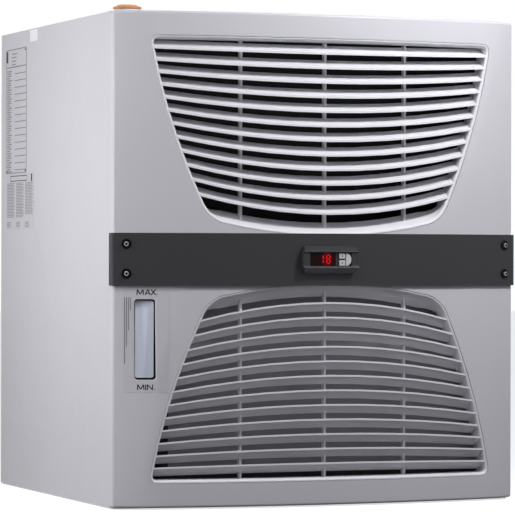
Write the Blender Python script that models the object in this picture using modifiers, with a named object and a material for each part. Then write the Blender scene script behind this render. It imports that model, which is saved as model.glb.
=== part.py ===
"""Compact water chiller with a bowed, louvred front.

The front faces -Y and up is +Z. The origin lies on the floor, under the middle
of the cabinet. The front is two hoods from one mould, one of them turned upside
down, so most of it is worked out for one half and mirrored about the middle height.
"""
from math import cos, pi, radians, sin, sqrt

import bmesh
import bpy
from mathutils import Matrix, Vector

# Cabinet
WIDTH = 0.568
DEPTH = 0.500
HOOD_PAIR_HEIGHT = 0.640
SHEET = 0.002
FIT = 0.0003
FLANGE = 0.015
PANEL_EDGE_RADIUS = 0.0007
PAN_UPSTAND = 0.030
TOP_DROP = 0.012
HOLE_REACH = 0.020

# Front hoods
HOOD_WALL = 0.0025
HOOD_RETURN = 0.0112
HOOD_EDGE_RADIUS = 0.0035
BOW = 0.0432
BOW_AT_CREASE = 0.0174
CREASE_AT_END = 0.0285
CREASE_AT_BAND = 0.085
CREASE_EASE = 0.58
CREASE_SOFTNESS = 0.004
CREASE_ANGLE = 5
CORNER_ANGLE = 38
BOW_STEPS = 7
HOOD_ROWS = 8

# Control band across the joint of the hoods
BAND_HEIGHT = 0.068
BAND_SHEET = 0.0034
BAND_RETURN = 0.0045

# Air openings, as distances from the middle height
OPENING_BAND_EDGE = 0.0306
OPENING_BAND_RADIUS = 0.667
OPENING_FROM_END = 0.0312
OPENING_FROM_SIDE = 0.0428
SIDE_LEAN = 0.167
SIDE_RADIUS = 0.728
SIDE_TOP = 0.036
BAND_CORNER_TANGENT = 0.020
BAND_CORNER_SIDE = 0.018
END_CORNER_TANGENT = 0.0115
CORNER_FULLNESS = 0.55
CORNER_STEPS = 4
OUTLINE_STEPS = 5
SETTLING_STEPS = 40

# Grille frame
FRAME_SINK = 0.0008
FRAME_GROOVE = 0.0006
FRAME_FACE = 0.0021
FRAME_LIP = 0.0048
FRAME_LIP_DEPTH = 0.0038
FRAME_LIP_FULLNESS = 0.62
FRAME_WALL = 0.0020
FRAME_DEPTH = 0.026
FRAME_FLANGE_REACH = 0.005
FRAME_FLANGE_SHEET = 0.0016
SKIRT_RISE = 0.0130
SKIRT_TURN_START = 0.95
SKIRT_TURN_END = 0.50

# Louvre blades
BLADE_COUNT = 12
UPPER_FIRST_BLADE = 0.0585
LOWER_FIRST_BLADE = 0.0553
LAST_BLADE_FROM_END = 0.0213
BLADE_SINK = 0.0012
BLADE_LIP = 0.0024
BLADE_DEPTH = 0.019
BLADE_RISE = 0.0126
BLADE_BEND = 0.55
BLADE_WALL = 0.0016
BLADE_BENDS = 2
BLADE_STEPS = 10
WALL_BITE = 0.65
RIB_BITE = 0.5
RIB_SPACING = 0.116
RIB_WALL = 0.003
RIB_FRONT = 0.0160
RIB_BACK = 0.0238

# Level slot and tank
SLOT_WIDTH = 0.0264
SLOT_HEIGHT = 0.1036
SLOT_FROM_SIDE = 0.0392
SLOT_BELOW_BAND = 0.0172
SLOT_CORNER_RADIUS = 0.004
SLOT_DEPTH = 0.0062
WINDOW_MARGIN = 0.008
TANK_FROM_SIDE = 0.010
TANK_WIDTH = 0.052
TANK_SETBACK = 0.030
TANK_HEIGHT = 0.290
TANK_EDGE_RADIUS = 0.004

# Inner structure
POST_WALL = 0.004
POST_WIDTH = 0.034
POST_SETBACK = 0.004
BULKHEAD_SIDE_GAP = 0.002
BULKHEAD_SETBACK = 0.100
POST_EDGE_RADIUS = 0.0008
COIL_CLEARANCE = 0.006
COIL_FROM_SIDE = 0.012
COIL_HEIGHT = 0.262
COIL_SETBACK = 0.012
COIL_FRAME = 0.012
COIL_BASE_HEIGHT = 0.032

# Filler
FILLER_FROM_SIDE = 0.0343
FILLER_SETBACK = 0.045
FILLER_BORE = 0.022
FILLER_TUBE = 0.027
NECK_WIDTH = 0.0345
CAP_SKIRT = 0.0360
CAP_CROWN = 0.0273
NECK_HEIGHT = 0.0056
CAP_SKIRT_HEIGHT = 0.0088
CAP_HEIGHT = 0.0107
CAP_TAPER = 0.0004
CAP_STEPS = 32

# Controller
CASE_OFFSET = -0.0032
CASE_WIDTH = 0.0786
CASE_HEIGHT = 0.0360
CASE_CORNER_WIDTH = 0.004
CASE_CORNER_HEIGHT = 0.009
CASE_BODY_WIDTH = 0.071
CASE_BODY_HEIGHT = 0.029
CASE_BODY_DEPTH = 0.055
CASE_BODY_BITE = 0.002
CASE_SHOULDER = 0.0030
CASE_CHEEK = 0.0075
CASE_CHEEK_DROP = 0.0036
CASE_BROW = 0.0115
CASE_BROW_HEIGHT = 0.0020
CASE_FACE = 0.0090
CASE_SILL = 0.0113
CASE_SILL_HEIGHT = 0.0027
CASE_CHIN = 0.0040
CASE_EDGE_RADIUS = 0.0008
WINDOW_WIDTH = 0.0585
WINDOW_HEIGHT = 0.0172
WINDOW_OFFSET = -0.0004
WINDOW_RISE = 0.0003
WINDOW_DEPTH = 0.0025
WINDOW_CORNER_RADIUS = 0.0012
DISPLAY_WIDTH = 0.0362
DISPLAY_THICKNESS = 0.0012
DISPLAY_EDGE_RADIUS = 0.0004
KEY_WIDTH = 0.0084
ROUND_KEY_WIDTH = 0.0074
KEY_GAP = 0.0011
KEY_SPLIT = 0.0020
KEY_HEIGHT = 0.0018
KEY_EDGE_RADIUS = 0.0006
KEY_ARC_STEPS = 12

# Rear fittings
VENT_WIDTH = 0.150
VENT_SLOT = 0.008
VENT_PITCH = 0.020
VENT_ROWS = 10
VENT_FROM_TOP = 0.0943
VENT_SPACING = 0.180
PORT_HEIGHT = 0.150
PORT_SPACING = 0.110
PORT_FROM_MIDDLE = 0.130
PORT_FLANGE = 0.044
PORT_BODY = 0.030
PORT_BORE = 0.018
PORT_REACH = 0.018
PORT_BORE_DEPTH = 0.030
PORT_FLANGE_SHEET = 0.004
PORT_END_WALL = 0.003
DRAIN_HEIGHT = 0.075
DRAIN_BODY = 0.020
DRAIN_FLANGE = 0.030
DRAIN_FLANGE_SHEET = 0.003
DRAIN_REACH = 0.012
FITTING_INSERT = 0.008
GLAND_HEIGHT = 0.240
GLAND_FROM_SIDE = 0.094
GLAND_NUT = 0.027
GLAND_BODY = 0.020
GLAND_REACH = 0.026
GLAND_NUT_HEIGHT = 0.010
GLAND_CROWN = 0.003
TURNED_EDGE = 0.001
TURNED_STEPS = 24

BASE_Z = SHEET + FIT
TOP_Z = BASE_Z + HOOD_PAIR_HEIGHT
HALF_WIDTH = WIDTH / 2
HALF_HEIGHT = HOOD_PAIR_HEIGHT / 2
MID_Z = BASE_Z + HALF_HEIGHT
CORNER_Y = -DEPTH / 2
REAR_Y = DEPTH / 2
PANEL_FRONT_Y = CORNER_Y + HOOD_RETURN + FIT
BULKHEAD_Y = CORNER_Y + BULKHEAD_SETBACK
BAND_FRONT_Y = CORNER_Y - BOW - FIT - BAND_SHEET
OPENING_END = HALF_HEIGHT - OPENING_FROM_END
OPENING_HALF_WIDTH = HALF_WIDTH - OPENING_FROM_SIDE
BLADE_PITCH = (OPENING_END - LAST_BLADE_FROM_END - UPPER_FIRST_BLADE) / (BLADE_COUNT - 1)
SLOT_Z = MID_Z - BAND_HEIGHT / 2 - SLOT_BELOW_BAND - SLOT_HEIGHT / 2
CASE_BACK_Y = BAND_FRONT_Y - FIT

PARTS = "water_chiller"
CUTTERS = "cutters"


# Scene and materials

def clear_scene():
    for item in list(bpy.data.objects):
        bpy.data.objects.remove(item, do_unlink=True)


def collection(name):
    group = bpy.data.collections.new(name)
    bpy.context.scene.collection.children.link(group)
    return group


def material(name, colour, roughness, metallic=0.0):
    made = bpy.data.materials.new(name)
    made.use_nodes = True
    shader = made.node_tree.nodes["Principled BSDF"]
    shader.inputs["Base Color"].default_value = (*colour, 1.0)
    shader.inputs["Roughness"].default_value = roughness
    shader.inputs["Metallic"].default_value = metallic
    return made


def add(name, mesh, finish):
    """Place a finished mesh as one named part."""
    item = bpy.data.objects.new(name, mesh)
    bpy.data.collections[PARTS].objects.link(item)
    mesh.materials.clear()
    mesh.materials.append(finish)
    mesh.shade_smooth()
    mesh.set_sharp_from_angle(angle=radians(28))
    return item


def guide(name, mesh):
    """Place a mesh that only cuts or joins another."""
    item = bpy.data.objects.new(name, mesh)
    bpy.data.collections[CUTTERS].objects.link(item)
    item.hide_render = True
    item.display_type = "WIRE"
    return item


def to_mesh(name, shape):
    """Finish a bmesh as a mesh whose faces point outward."""
    bmesh.ops.recalc_face_normals(shape, faces=shape.faces)
    mesh = bpy.data.meshes.new(name)
    shape.to_mesh(mesh)
    shape.free()
    return mesh


def boolean(item, tool, operation="DIFFERENCE"):
    step = item.modifiers.new(tool.name, "BOOLEAN")
    step.operation = operation
    step.solver = "EXACT"
    step.object = tool


def bevel(item, width, segments=2, angle=40):
    step = item.modifiers.new("edges", "BEVEL")
    step.width = width
    step.segments = segments
    step.limit_method = "ANGLE"
    step.angle_limit = radians(angle)


def solidify(item, thickness, offset):
    step = item.modifiers.new("wall", "SOLIDIFY")
    step.thickness = thickness
    step.offset = offset
    step.use_even_offset = True


# Basic forms

def box_shape(low, high):
    shape = bmesh.new()
    low, high = Vector(low), Vector(high)
    size = high - low
    place = Matrix.Translation((low + high) / 2) @ Matrix.Diagonal((*size, 1.0))
    bmesh.ops.create_cube(shape, size=1.0, matrix=place)
    return shape


def box(name, low, high):
    return to_mesh(name, box_shape(low, high))


def boxes(name, corners):
    """Several separate boxes in one mesh."""
    shape = bmesh.new()
    for low, high in corners:
        low, high = Vector(low), Vector(high)
        place = Matrix.Translation((low + high) / 2) @ Matrix.Diagonal((*(high - low), 1.0))
        bmesh.ops.create_cube(shape, size=1.0, matrix=place)
    return to_mesh(name, shape)


def folded_sheet(name, low, high, open_sides):
    """A box of sheet metal that is open at the named sides, such as '+x'."""
    shape = box_shape(low, high)
    gone = [face for face in shape.faces if side_name(face.normal) in open_sides]
    bmesh.ops.delete(shape, geom=gone, context="FACES")
    return to_mesh(name, shape)


def side_name(normal):
    axis = max(range(3), key=lambda i: abs(normal[i]))
    return ("-" if normal[axis] < 0 else "+") + "xyz"[axis]


def prism(name, outline, low, high, axis):
    """A flat outline drawn out along one axis; its points are (x, y), (x, z) or (y, z)."""
    curve = bpy.data.curves.new(name, "CURVE")
    curve.dimensions = "2D"
    curve.fill_mode = "BOTH"
    curve.extrude = (high - low) / 2
    spline = curve.splines.new("POLY")
    spline.points.add(len(outline) - 1)
    for point, (across, up) in zip(spline.points, outline):
        point.co = (across, up, 0.0, 1.0)
    spline.use_cyclic_u = True
    turns = {
        "x": Matrix(((0, 0, 1), (1, 0, 0), (0, 1, 0))),
        "y": Matrix(((1, 0, 0), (0, 0, -1), (0, 1, 0))),
        "z": Matrix.Identity(3),
    }
    middle = Vector([(low + high) / 2 if letter == axis else 0.0 for letter in "xyz"])
    return mesh_of_curve(name, curve, Matrix.Translation(middle) @ turns[axis].to_4x4())


def mesh_of_curve(name, curve, place):
    holder = bpy.data.objects.new(name, curve)
    bpy.context.scene.collection.objects.link(holder)
    view = bpy.context.evaluated_depsgraph_get()
    mesh = bpy.data.meshes.new_from_object(holder.evaluated_get(view))
    bpy.data.objects.remove(holder, do_unlink=True)
    shape = bmesh.new()
    shape.from_mesh(mesh)
    bmesh.ops.remove_doubles(shape, verts=shape.verts, dist=0.00001)
    bmesh.ops.transform(shape, matrix=place, verts=shape.verts)
    return to_mesh(name, shape)


def turned(name, profile, place, finish, steps=TURNED_STEPS):
    """A round part from an (radius, height) profile that runs down its outer side."""
    shape = bmesh.new()
    points = [shape.verts.new((radius, 0.0, height)) for radius, height in profile]
    for first, second in zip(points, points[1:]):
        shape.edges.new((first, second))
    mesh = bpy.data.meshes.new(name)
    shape.to_mesh(mesh)
    shape.free()
    item = add(name, mesh, finish)
    item.matrix_world = place
    step = item.modifiers.new("turn", "SCREW")
    step.steps = steps
    step.render_steps = steps
    step.use_merge_vertices = True
    step.merge_threshold = 0.00001
    step.use_smooth_shade = True
    return item


def arc(centre, radius, start, end, steps):
    """Points on an arc, with angles in degrees."""
    turns = [radians(start + (end - start) * i / steps) for i in range(steps + 1)]
    return [(centre[0] + radius * cos(t), centre[1] + radius * sin(t)) for t in turns]


def rounded_rectangle(centre, width, height, radius, steps=3):
    x, z = centre
    right, top = x + width / 2 - radius, z + height / 2 - radius
    left, bottom = x - width / 2 + radius, z - height / 2 + radius
    return (arc((right, bottom), radius, -90, 0, steps) + arc((right, top), radius, 0, 90, steps)
            + arc((left, top), radius, 90, 180, steps) + arc((left, bottom), radius, 180, 270, steps))


# Form of the bowed front

def crease_inset(z):
    """Distance from the cabinet's side to the crease that bounds the bowed middle."""
    run = HALF_HEIGHT - BAND_HEIGHT / 2
    t = min((HALF_HEIGHT - abs(z - MID_Z)) / run, 1.0)
    ease = t * t * (1 + CREASE_EASE) / (t + CREASE_EASE)
    return CREASE_AT_END + (CREASE_AT_BAND - CREASE_AT_END) * ease


def bow(x):
    """How far the bowed middle stands ahead of the front corners."""
    share = x / (HALF_WIDTH - CREASE_AT_END)
    return BOW - (BOW - BOW_AT_CREASE) * share * share


def front_y(x, z):
    inset = crease_inset(z)
    edge = HALF_WIDTH - abs(x)
    ahead = bow(x) if edge >= inset else bow(HALF_WIDTH - inset) * edge / inset
    return CORNER_Y - ahead


def front_section(z, side_return):
    """Plan of the front at one height, from one side return to the other."""
    crease = HALF_WIDTH - crease_inset(z)
    half = [(HALF_WIDTH, CORNER_Y + side_return), (HALF_WIDTH, CORNER_Y)]
    for i in range(BOW_STEPS + 1):
        x = crease * (1 - i / BOW_STEPS)
        half.append((x, front_y(x, z)))
    return [(-x, y) for x, y in half] + [(x, y) for x, y in reversed(half[:-1])]


def front_surface(heights, side_return):
    """The bare front between the given heights, with the rows of its vertices."""
    shape = bmesh.new()
    rows = []
    for z in heights:
        rows.append([shape.verts.new((x, y, z)) for x, y in front_section(z, side_return)])
    for low, high in zip(rows, rows[1:]):
        for i in range(len(low) - 1):
            shape.faces.new((low[i], low[i + 1], high[i + 1], high[i]))
    return shape, rows


def soften(shape):
    """Round the creases gently and the corners of the front by its edge radius."""
    low, high = radians(CREASE_ANGLE), radians(CORNER_ANGLE)
    creases = [edge for edge in shape.edges
               if low < edge.calc_face_angle(0.0) < high and abs(edge.verts[0].co.x) < HALF_WIDTH - FIT]
    bmesh.ops.bevel(shape, geom=creases, offset=CREASE_SOFTNESS, segments=2, profile=0.5,
                    affect="EDGES", clamp_overlap=True)
    corners = [edge for edge in shape.edges if edge.calc_face_angle(0.0) > high]
    bmesh.ops.bevel(shape, geom=corners, offset=HOOD_EDGE_RADIUS, segments=3, profile=0.5,
                    affect="EDGES", clamp_overlap=True)


def hood_mesh(name, direction):
    """One hood as an open skin; direction is +1 for the upper one and -1 for the lower."""
    seam = FIT / 2
    heights = [MID_Z + direction * (seam + (HALF_HEIGHT - seam) * i / HOOD_ROWS)
               for i in range(HOOD_ROWS + 1)]
    shape, rows = front_surface(heights, HOOD_RETURN)
    end = rows[-1]
    front = end[1:-1]
    back = [shape.verts.new((vertex.co.x, CORNER_Y + HOOD_RETURN, vertex.co.z)) for vertex in front[1:-1]]
    back = [end[0], *back, end[-1]]
    for i in range(len(front) - 1):
        shape.faces.new((front[i], front[i + 1], back[i + 1], back[i]))
    soften(shape)
    return to_mesh(name, shape)


# Outline of the air openings, in x and distance from the middle height

def side_reach(distance):
    """Half width of the opening at one distance from the middle height."""
    run = HALF_HEIGHT - SIDE_TOP - distance
    return OPENING_HALF_WIDTH - SIDE_LEAN * run - run * run / (2 * SIDE_RADIUS)


def band_edge(x):
    return OPENING_BAND_EDGE + x * x / (2 * OPENING_BAND_RADIUS)


def blend(start, corner, end):
    """Round a corner between two points with a curve that leaves both along their edges."""
    start, corner, end = Vector(start), Vector(corner), Vector(end)
    first, second = start.lerp(corner, CORNER_FULLNESS), end.lerp(corner, CORNER_FULLNESS)
    points = []
    for i in range(1, CORNER_STEPS):
        t = i / CORNER_STEPS
        point = ((1 - t) ** 3 * start + 3 * (1 - t) ** 2 * t * first
                 + 3 * (1 - t) * t * t * second + t ** 3 * end)
        points.append(tuple(point))
    return points


def band_corner():
    """Where the band edge and the side of an opening would meet."""
    distance = OPENING_BAND_EDGE
    for _ in range(SETTLING_STEPS):
        distance = band_edge(side_reach(distance))
    return side_reach(distance), distance


def half_outline():
    """The opening for x >= 0, from the middle of the band edge to the middle of the far edge."""
    corner_x, corner_d = band_corner()
    slope = BAND_CORNER_TANGENT / sqrt(1 + (corner_x / OPENING_BAND_RADIUS) ** 2)
    arc_end = corner_x - slope
    side_start = corner_d + BAND_CORNER_SIDE
    side_end = OPENING_END - END_CORNER_TANGENT
    line_end = side_reach(OPENING_END) - END_CORNER_TANGENT
    steps = OUTLINE_STEPS
    points = [(arc_end * i / steps, band_edge(arc_end * i / steps)) for i in range(steps + 1)]
    points += blend(points[-1], (corner_x, corner_d), (side_reach(side_start), side_start))
    for i in range(steps + 1):
        distance = side_start + (side_end - side_start) * i / steps
        points.append((side_reach(distance), distance))
    points += blend(points[-1], (side_reach(OPENING_END), OPENING_END), (line_end, OPENING_END))
    points += [(line_end * (1 - i / steps), OPENING_END) for i in range(steps + 1)]
    return points


def opening_outline():
    half = half_outline()
    return half + [(-x, distance) for x, distance in reversed(half[1:-1])]


def inset_outline(inset, skirt=0.0):
    """The opening's outline, moved inward; the skirt adds to it along the band edge only."""
    points = opening_outline()
    count = len(points)
    moved = []
    for i in range(count):
        before, after = Vector(points[i - 1]), Vector(points[(i + 1) % count])
        here = Vector(points[i])
        first, second = (here - before).normalized(), (after - here).normalized()
        normal = Vector((-(first.y + second.y), first.x + second.x)).normalized()
        stretch = 1 / max(sqrt((1 + first.dot(second)) / 2), 0.5)
        share = (normal.y - SKIRT_TURN_END) / (SKIRT_TURN_START - SKIRT_TURN_END)
        reach = inset + skirt * min(max(share, 0.0), 1.0)
        moved.append(tuple(here + normal * reach * stretch))
    return moved


def opening_cutter(name, direction, inset=0.0):
    outline = [(x, MID_Z + direction * distance) for x, distance in inset_outline(inset)]
    return guide(name, prism(name, outline, CORNER_Y - 2 * BOW, CORNER_Y, "y"))


# Louvred grilles

def rise_share(t):
    """Share of a blade's rise at one share of its depth: it steepens toward the back."""
    return t * (1 - BLADE_BEND + BLADE_BEND * t)


def skirt_rise(depth):
    """How far the frame's skirt along the band edge has risen at one depth."""
    return SKIRT_RISE * rise_share((depth - FRAME_LIP_DEPTH) / (FRAME_DEPTH - FRAME_LIP_DEPTH))


def frame_mesh(name, direction):
    """The grille's frame: a bevelled lip, a wall with its skirt, and a flange behind the hood's skin."""
    wall = FRAME_LIP - FRAME_WALL
    bevel_middle = FRAME_FACE + FRAME_LIP_FULLNESS * (FRAME_LIP - FRAME_FACE)
    bevel_depth = FRAME_SINK + (1 - FRAME_LIP_FULLNESS) * (FRAME_LIP_DEPTH - FRAME_SINK)
    flange = HOOD_WALL + 2 * FIT
    half_depth = (FRAME_LIP_DEPTH + FRAME_DEPTH) / 2
    section = [
        (FIT, 0.0, FRAME_SINK + FRAME_GROOVE),
        (FIT + FRAME_GROOVE, 0.0, FRAME_SINK),
        (FRAME_FACE, 0.0, FRAME_SINK),
        (bevel_middle, 0.0, bevel_depth),
        (FRAME_LIP, 0.0, FRAME_LIP_DEPTH),
        (FRAME_LIP, skirt_rise(half_depth), half_depth),
        (FRAME_LIP, SKIRT_RISE, FRAME_DEPTH),
        (wall, SKIRT_RISE, FRAME_DEPTH),
        (wall, skirt_rise(half_depth), half_depth),
        (wall, 0.0, flange + FRAME_FLANGE_SHEET),
        (-FRAME_FLANGE_REACH, 0.0, flange + FRAME_FLANGE_SHEET),
        (-FRAME_FLANGE_REACH, 0.0, flange),
        (FIT, 0.0, flange),
    ]
    shape = bmesh.new()
    rings = []
    for inset, skirt, depth in section:
        ring = []
        for x, distance in inset_outline(inset, skirt):
            z = MID_Z + direction * distance
            ring.append(shape.verts.new((x, front_y(x, z) + depth, z)))
        rings.append(ring)
    count = len(rings[0])
    for k in range(len(rings)):
        near, far = rings[k], rings[(k + 1) % len(rings)]
        for i in range(count):
            j = (i + 1) % count
            shape.faces.new((near[i], near[j], far[j], far[i]))
    return to_mesh(name, shape)


def blade_section():
    """Blade profile as (depth behind the front, rise away from the band)."""
    face = []
    for i in range(BLADE_BENDS + 1):
        t = i / BLADE_BENDS
        face.append((BLADE_SINK + BLADE_DEPTH * t, BLADE_LIP + (BLADE_RISE - BLADE_LIP) * rise_share(t)))
    under = [(depth + BLADE_WALL / 2, rise - BLADE_WALL) for depth, rise in reversed(face[1:])]
    return face + under + [(BLADE_SINK, 0.0)]


def blade_line(index, direction):
    """Distance of a blade's lip from the middle height at x = 0, and its upward curve.

    The first blade runs beside the opening's curved edge; the others straighten away from it.
    """
    first = UPPER_FIRST_BLADE if direction > 0 else LOWER_FIRST_BLADE
    share = (BLADE_COUNT - index) / BLADE_COUNT
    return first + BLADE_PITCH * index, share / OPENING_BAND_RADIUS


def wall_line(depth):
    """A line inside the frame's wall at one depth, for x >= 0, with x growing."""
    skirt = skirt_rise(max(depth, FRAME_LIP_DEPTH))
    outline = inset_outline(FRAME_LIP - WALL_BITE * FRAME_WALL, skirt)
    widest = max(range(len(outline)), key=lambda i: outline[i][0])
    return outline[:widest + 1]


def blade_reach(start, curve, wall):
    """Half length of a blade at which it meets the middle of the frame's wall."""
    for (x0, d0), (x1, d1) in zip(wall, wall[1:]):
        gap0 = start + curve * x0 * x0 / 2 - d0
        gap1 = start + curve * x1 * x1 / 2 - d1
        if gap1 < 0 <= gap0:
            return x0 + (x1 - x0) * gap0 / (gap0 - gap1)
    return wall[-1][0]


def blades_mesh(name, direction):
    shape = bmesh.new()
    section = [(depth, rise, wall_line(depth)) for depth, rise in blade_section()]
    for index in range(BLADE_COUNT):
        start, curve = blade_line(index, direction)
        lines = []
        for depth, rise, wall in section:
            reach = blade_reach(start + rise, curve, wall)
            line = []
            for i in range(BLADE_STEPS + 1):
                x = reach * (2 * i / BLADE_STEPS - 1)
                z = MID_Z + direction * (start + rise + curve * x * x / 2)
                line.append(shape.verts.new((x, front_y(x, z) + depth, z)))
            lines.append(line)
        count = len(lines)
        for k in range(count):
            near, far = lines[k], lines[(k + 1) % count]
            for i in range(BLADE_STEPS):
                shape.faces.new((near[i], near[i + 1], far[i + 1], far[i]))
        shape.faces.new([line[0] for line in lines])
        shape.faces.new([line[-1] for line in lines])
    return to_mesh(name, shape)


def ribs_mesh(name, direction):
    ends = []
    for x in (-RIB_SPACING, 0.0, RIB_SPACING):
        near = band_edge(x) + FRAME_LIP + skirt_rise(RIB_FRONT) - RIB_BITE * FRAME_WALL
        far = OPENING_END - FRAME_LIP + RIB_BITE * FRAME_WALL
        low, high = sorted((MID_Z + direction * near, MID_Z + direction * far))
        y = front_y(x, MID_Z)
        ends.append(((x - RIB_WALL / 2, y + RIB_FRONT, low), (x + RIB_WALL / 2, y + RIB_BACK, high)))
    return boxes(name, ends)


def build_grille(name, direction, finish):
    grille = add(name, frame_mesh(name, direction), finish)
    boolean(grille, guide(name + "_blades", blades_mesh(name + "_blades", direction)), "UNION")
    boolean(grille, guide(name + "_ribs", ribs_mesh(name + "_ribs", direction)), "UNION")
    return grille


# Hoods, band and controller

def build_hood(name, direction, finish, extra_cutters):
    hood = add(name, hood_mesh(name, direction), finish)
    solidify(hood, HOOD_WALL, -1)
    boolean(hood, opening_cutter(name + "_air_opening", direction))
    for cutter in extra_cutters:
        boolean(hood, cutter)
    return hood


def slot_cutter():
    centre = (SLOT_FROM_SIDE - HALF_WIDTH, SLOT_Z)
    outline = rounded_rectangle(centre, SLOT_WIDTH, SLOT_HEIGHT, SLOT_CORNER_RADIUS)
    return guide("level_slot", prism("level_slot", outline, CORNER_Y - BOW, CORNER_Y + HOOD_RETURN, "y"))


def case_opening(name, clearance):
    half_x, half_z = CASE_BODY_WIDTH / 2 + clearance, CASE_BODY_HEIGHT / 2 + clearance
    low = (CASE_OFFSET - half_x, CORNER_Y - 2 * BOW, MID_Z - half_z)
    return guide(name, box(name, low, (CASE_OFFSET + half_x, CORNER_Y, MID_Z + half_z)))


def build_band(finish):
    """The bent plate that covers the joint of the hoods and wraps their corners."""
    half = BAND_HEIGHT / 2
    shape, _ = front_surface([MID_Z - half, MID_Z, MID_Z + half], BAND_RETURN)
    soften(shape)
    bmesh.ops.recalc_face_normals(shape, faces=shape.faces)
    outward = [(vertex, vertex.normal * FIT * vertex.calc_shell_factor()) for vertex in shape.verts]
    for vertex, move in outward:
        vertex.co += move
    band = add("control_band", to_mesh("control_band", shape), finish)
    solidify(band, BAND_SHEET, 1)
    boolean(band, case_opening("band_case_opening", FIT))
    return band


def build_case(finish):
    """Controller housing: a browed front bezel on a body that passes through the band."""
    half = CASE_HEIGHT / 2
    lintel = WINDOW_RISE + WINDOW_HEIGHT / 2 - FIT
    sill = WINDOW_RISE - WINDOW_HEIGHT / 2 + FIT
    side_profile = [
        (0.0, half),
        (CASE_SHOULDER, half),
        (CASE_CHEEK, half - CASE_CHEEK_DROP),
        (CASE_BROW, lintel + CASE_BROW_HEIGHT),
        (CASE_FACE, lintel),
        (CASE_FACE, sill),
        (CASE_SILL, sill - CASE_SILL_HEIGHT),
        (CASE_CHIN, -half),
        (0.0, -half),
    ]
    wide = CASE_WIDTH / 2
    profile = [(CASE_BACK_Y - ahead, MID_Z + z) for ahead, z in side_profile]
    bezel = prism("controller_case", profile, CASE_OFFSET - wide, CASE_OFFSET + wide, "x")
    case = add("controller_case", bezel, finish)
    narrow, low = wide - CASE_CORNER_WIDTH, half - CASE_CORNER_HEIGHT
    corners = [(wide, -low), (wide, low), (narrow, half), (-narrow, half),
               (-wide, low), (-wide, -low), (-narrow, -half), (narrow, -half)]
    outline = [(CASE_OFFSET + x, MID_Z + z) for x, z in corners]
    limits = prism("case_outline", outline, CASE_BACK_Y - 2 * CASE_BROW, CASE_BACK_Y + CASE_BROW, "y")
    boolean(case, guide("case_outline", limits), "INTERSECT")
    bevel(case, CASE_EDGE_RADIUS, 2, 30)
    half_x, half_z = CASE_BODY_WIDTH / 2, CASE_BODY_HEIGHT / 2
    body = box("case_body", (CASE_OFFSET - half_x, CASE_BACK_Y - CASE_BODY_BITE, MID_Z - half_z),
               (CASE_OFFSET + half_x, CASE_BACK_Y + CASE_BODY_DEPTH, MID_Z + half_z))
    boolean(case, guide("case_body", body), "UNION")
    centre = (CASE_OFFSET + WINDOW_OFFSET, MID_Z + WINDOW_RISE)
    recess = rounded_rectangle(centre, WINDOW_WIDTH, WINDOW_HEIGHT, WINDOW_CORNER_RADIUS)
    face = CASE_BACK_Y - CASE_FACE
    cut = prism("case_window", recess, face - CASE_BROW, face + WINDOW_DEPTH, "y")
    boolean(case, guide("case_window", cut))
    return case


def build_controls(glass, key_finish):
    """Display and keys on the floor of the window's recess."""
    floor = CASE_BACK_Y - CASE_FACE + WINDOW_DEPTH - FIT
    left = CASE_OFFSET + WINDOW_OFFSET - WINDOW_WIDTH / 2 + FIT
    right = left + WINDOW_WIDTH - 2 * FIT
    middle = MID_Z + WINDOW_RISE
    half = WINDOW_HEIGHT / 2 - FIT
    display = box("controller_display", (left, floor - DISPLAY_THICKNESS, middle - half),
                  (left + DISPLAY_WIDTH, floor, middle + half))
    bevel(add("controller_display", display, glass), DISPLAY_EDGE_RADIUS, 1)
    round_left = right - ROUND_KEY_WIDTH
    key_right = round_left - KEY_GAP
    for name, side in (("controller_up_key", 1), ("controller_down_key", -1)):
        low, high = sorted((middle + side * KEY_SPLIT / 2, middle + side * half))
        key = box(name, (key_right - KEY_WIDTH, floor - KEY_HEIGHT, low), (key_right, floor, high))
        bevel(add(name, key, key_finish), KEY_EDGE_RADIUS, 2)
    outline = [(round_left + ROUND_KEY_WIDTH * x, middle + half * z)
               for x, z in arc((0.0, 0.0), 1.0, -90, 90, KEY_ARC_STEPS)]
    key = prism("controller_set_key", outline, floor - KEY_HEIGHT, floor, "y")
    add("controller_set_key", key, key_finish)


# Cabinet

def build_cabinet(paint, galvanised):
    """Folded panels and the base pan; gives back the rear panel for its holes."""
    inner = HALF_WIDTH - FLANGE
    for name, side in (("left_side_panel", -1), ("right_side_panel", 1)):
        low_x, high_x = sorted((side * HALF_WIDTH, side * inner))
        away = "+x" if side < 0 else "-x"
        skin = folded_sheet(name, (low_x, PANEL_FRONT_Y, BASE_Z), (high_x, REAR_Y, TOP_Z),
                            (away, "-y", "-z"))
        panel = add(name, skin, paint)
        solidify(panel, SHEET, -1)
        bevel(panel, PANEL_EDGE_RADIUS, 2, 60)
    lid_half = inner - FIT
    skin = folded_sheet("top_panel", (-lid_half, PANEL_FRONT_Y, TOP_Z - TOP_DROP),
                        (lid_half, REAR_Y, TOP_Z), ("-z",))
    top = add("top_panel", skin, paint)
    solidify(top, SHEET, -1)
    hole = cylinder("filler_hole", filler_place(TOP_Z), FILLER_TUBE / 2 + FIT, HOLE_REACH)
    boolean(top, guide("filler_hole", hole))
    skin = folded_sheet("rear_panel", (-lid_half, REAR_Y - FLANGE, BASE_Z),
                        (lid_half, REAR_Y, TOP_Z - TOP_DROP - FIT), ("-y", "-z", "-x", "+x"))
    rear = add("rear_panel", skin, paint)
    solidify(rear, SHEET, -1)
    boolean(rear, guide("vents", vents_mesh()))
    pan_half = HALF_WIDTH - SHEET - FIT
    skin = folded_sheet("base_pan", (-pan_half, PANEL_FRONT_Y, 0.0),
                        (pan_half, REAR_Y - SHEET - FIT, PAN_UPSTAND), ("+z",))
    pan = add("base_pan", skin, galvanised)
    solidify(pan, SHEET, -1)
    return rear


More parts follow.
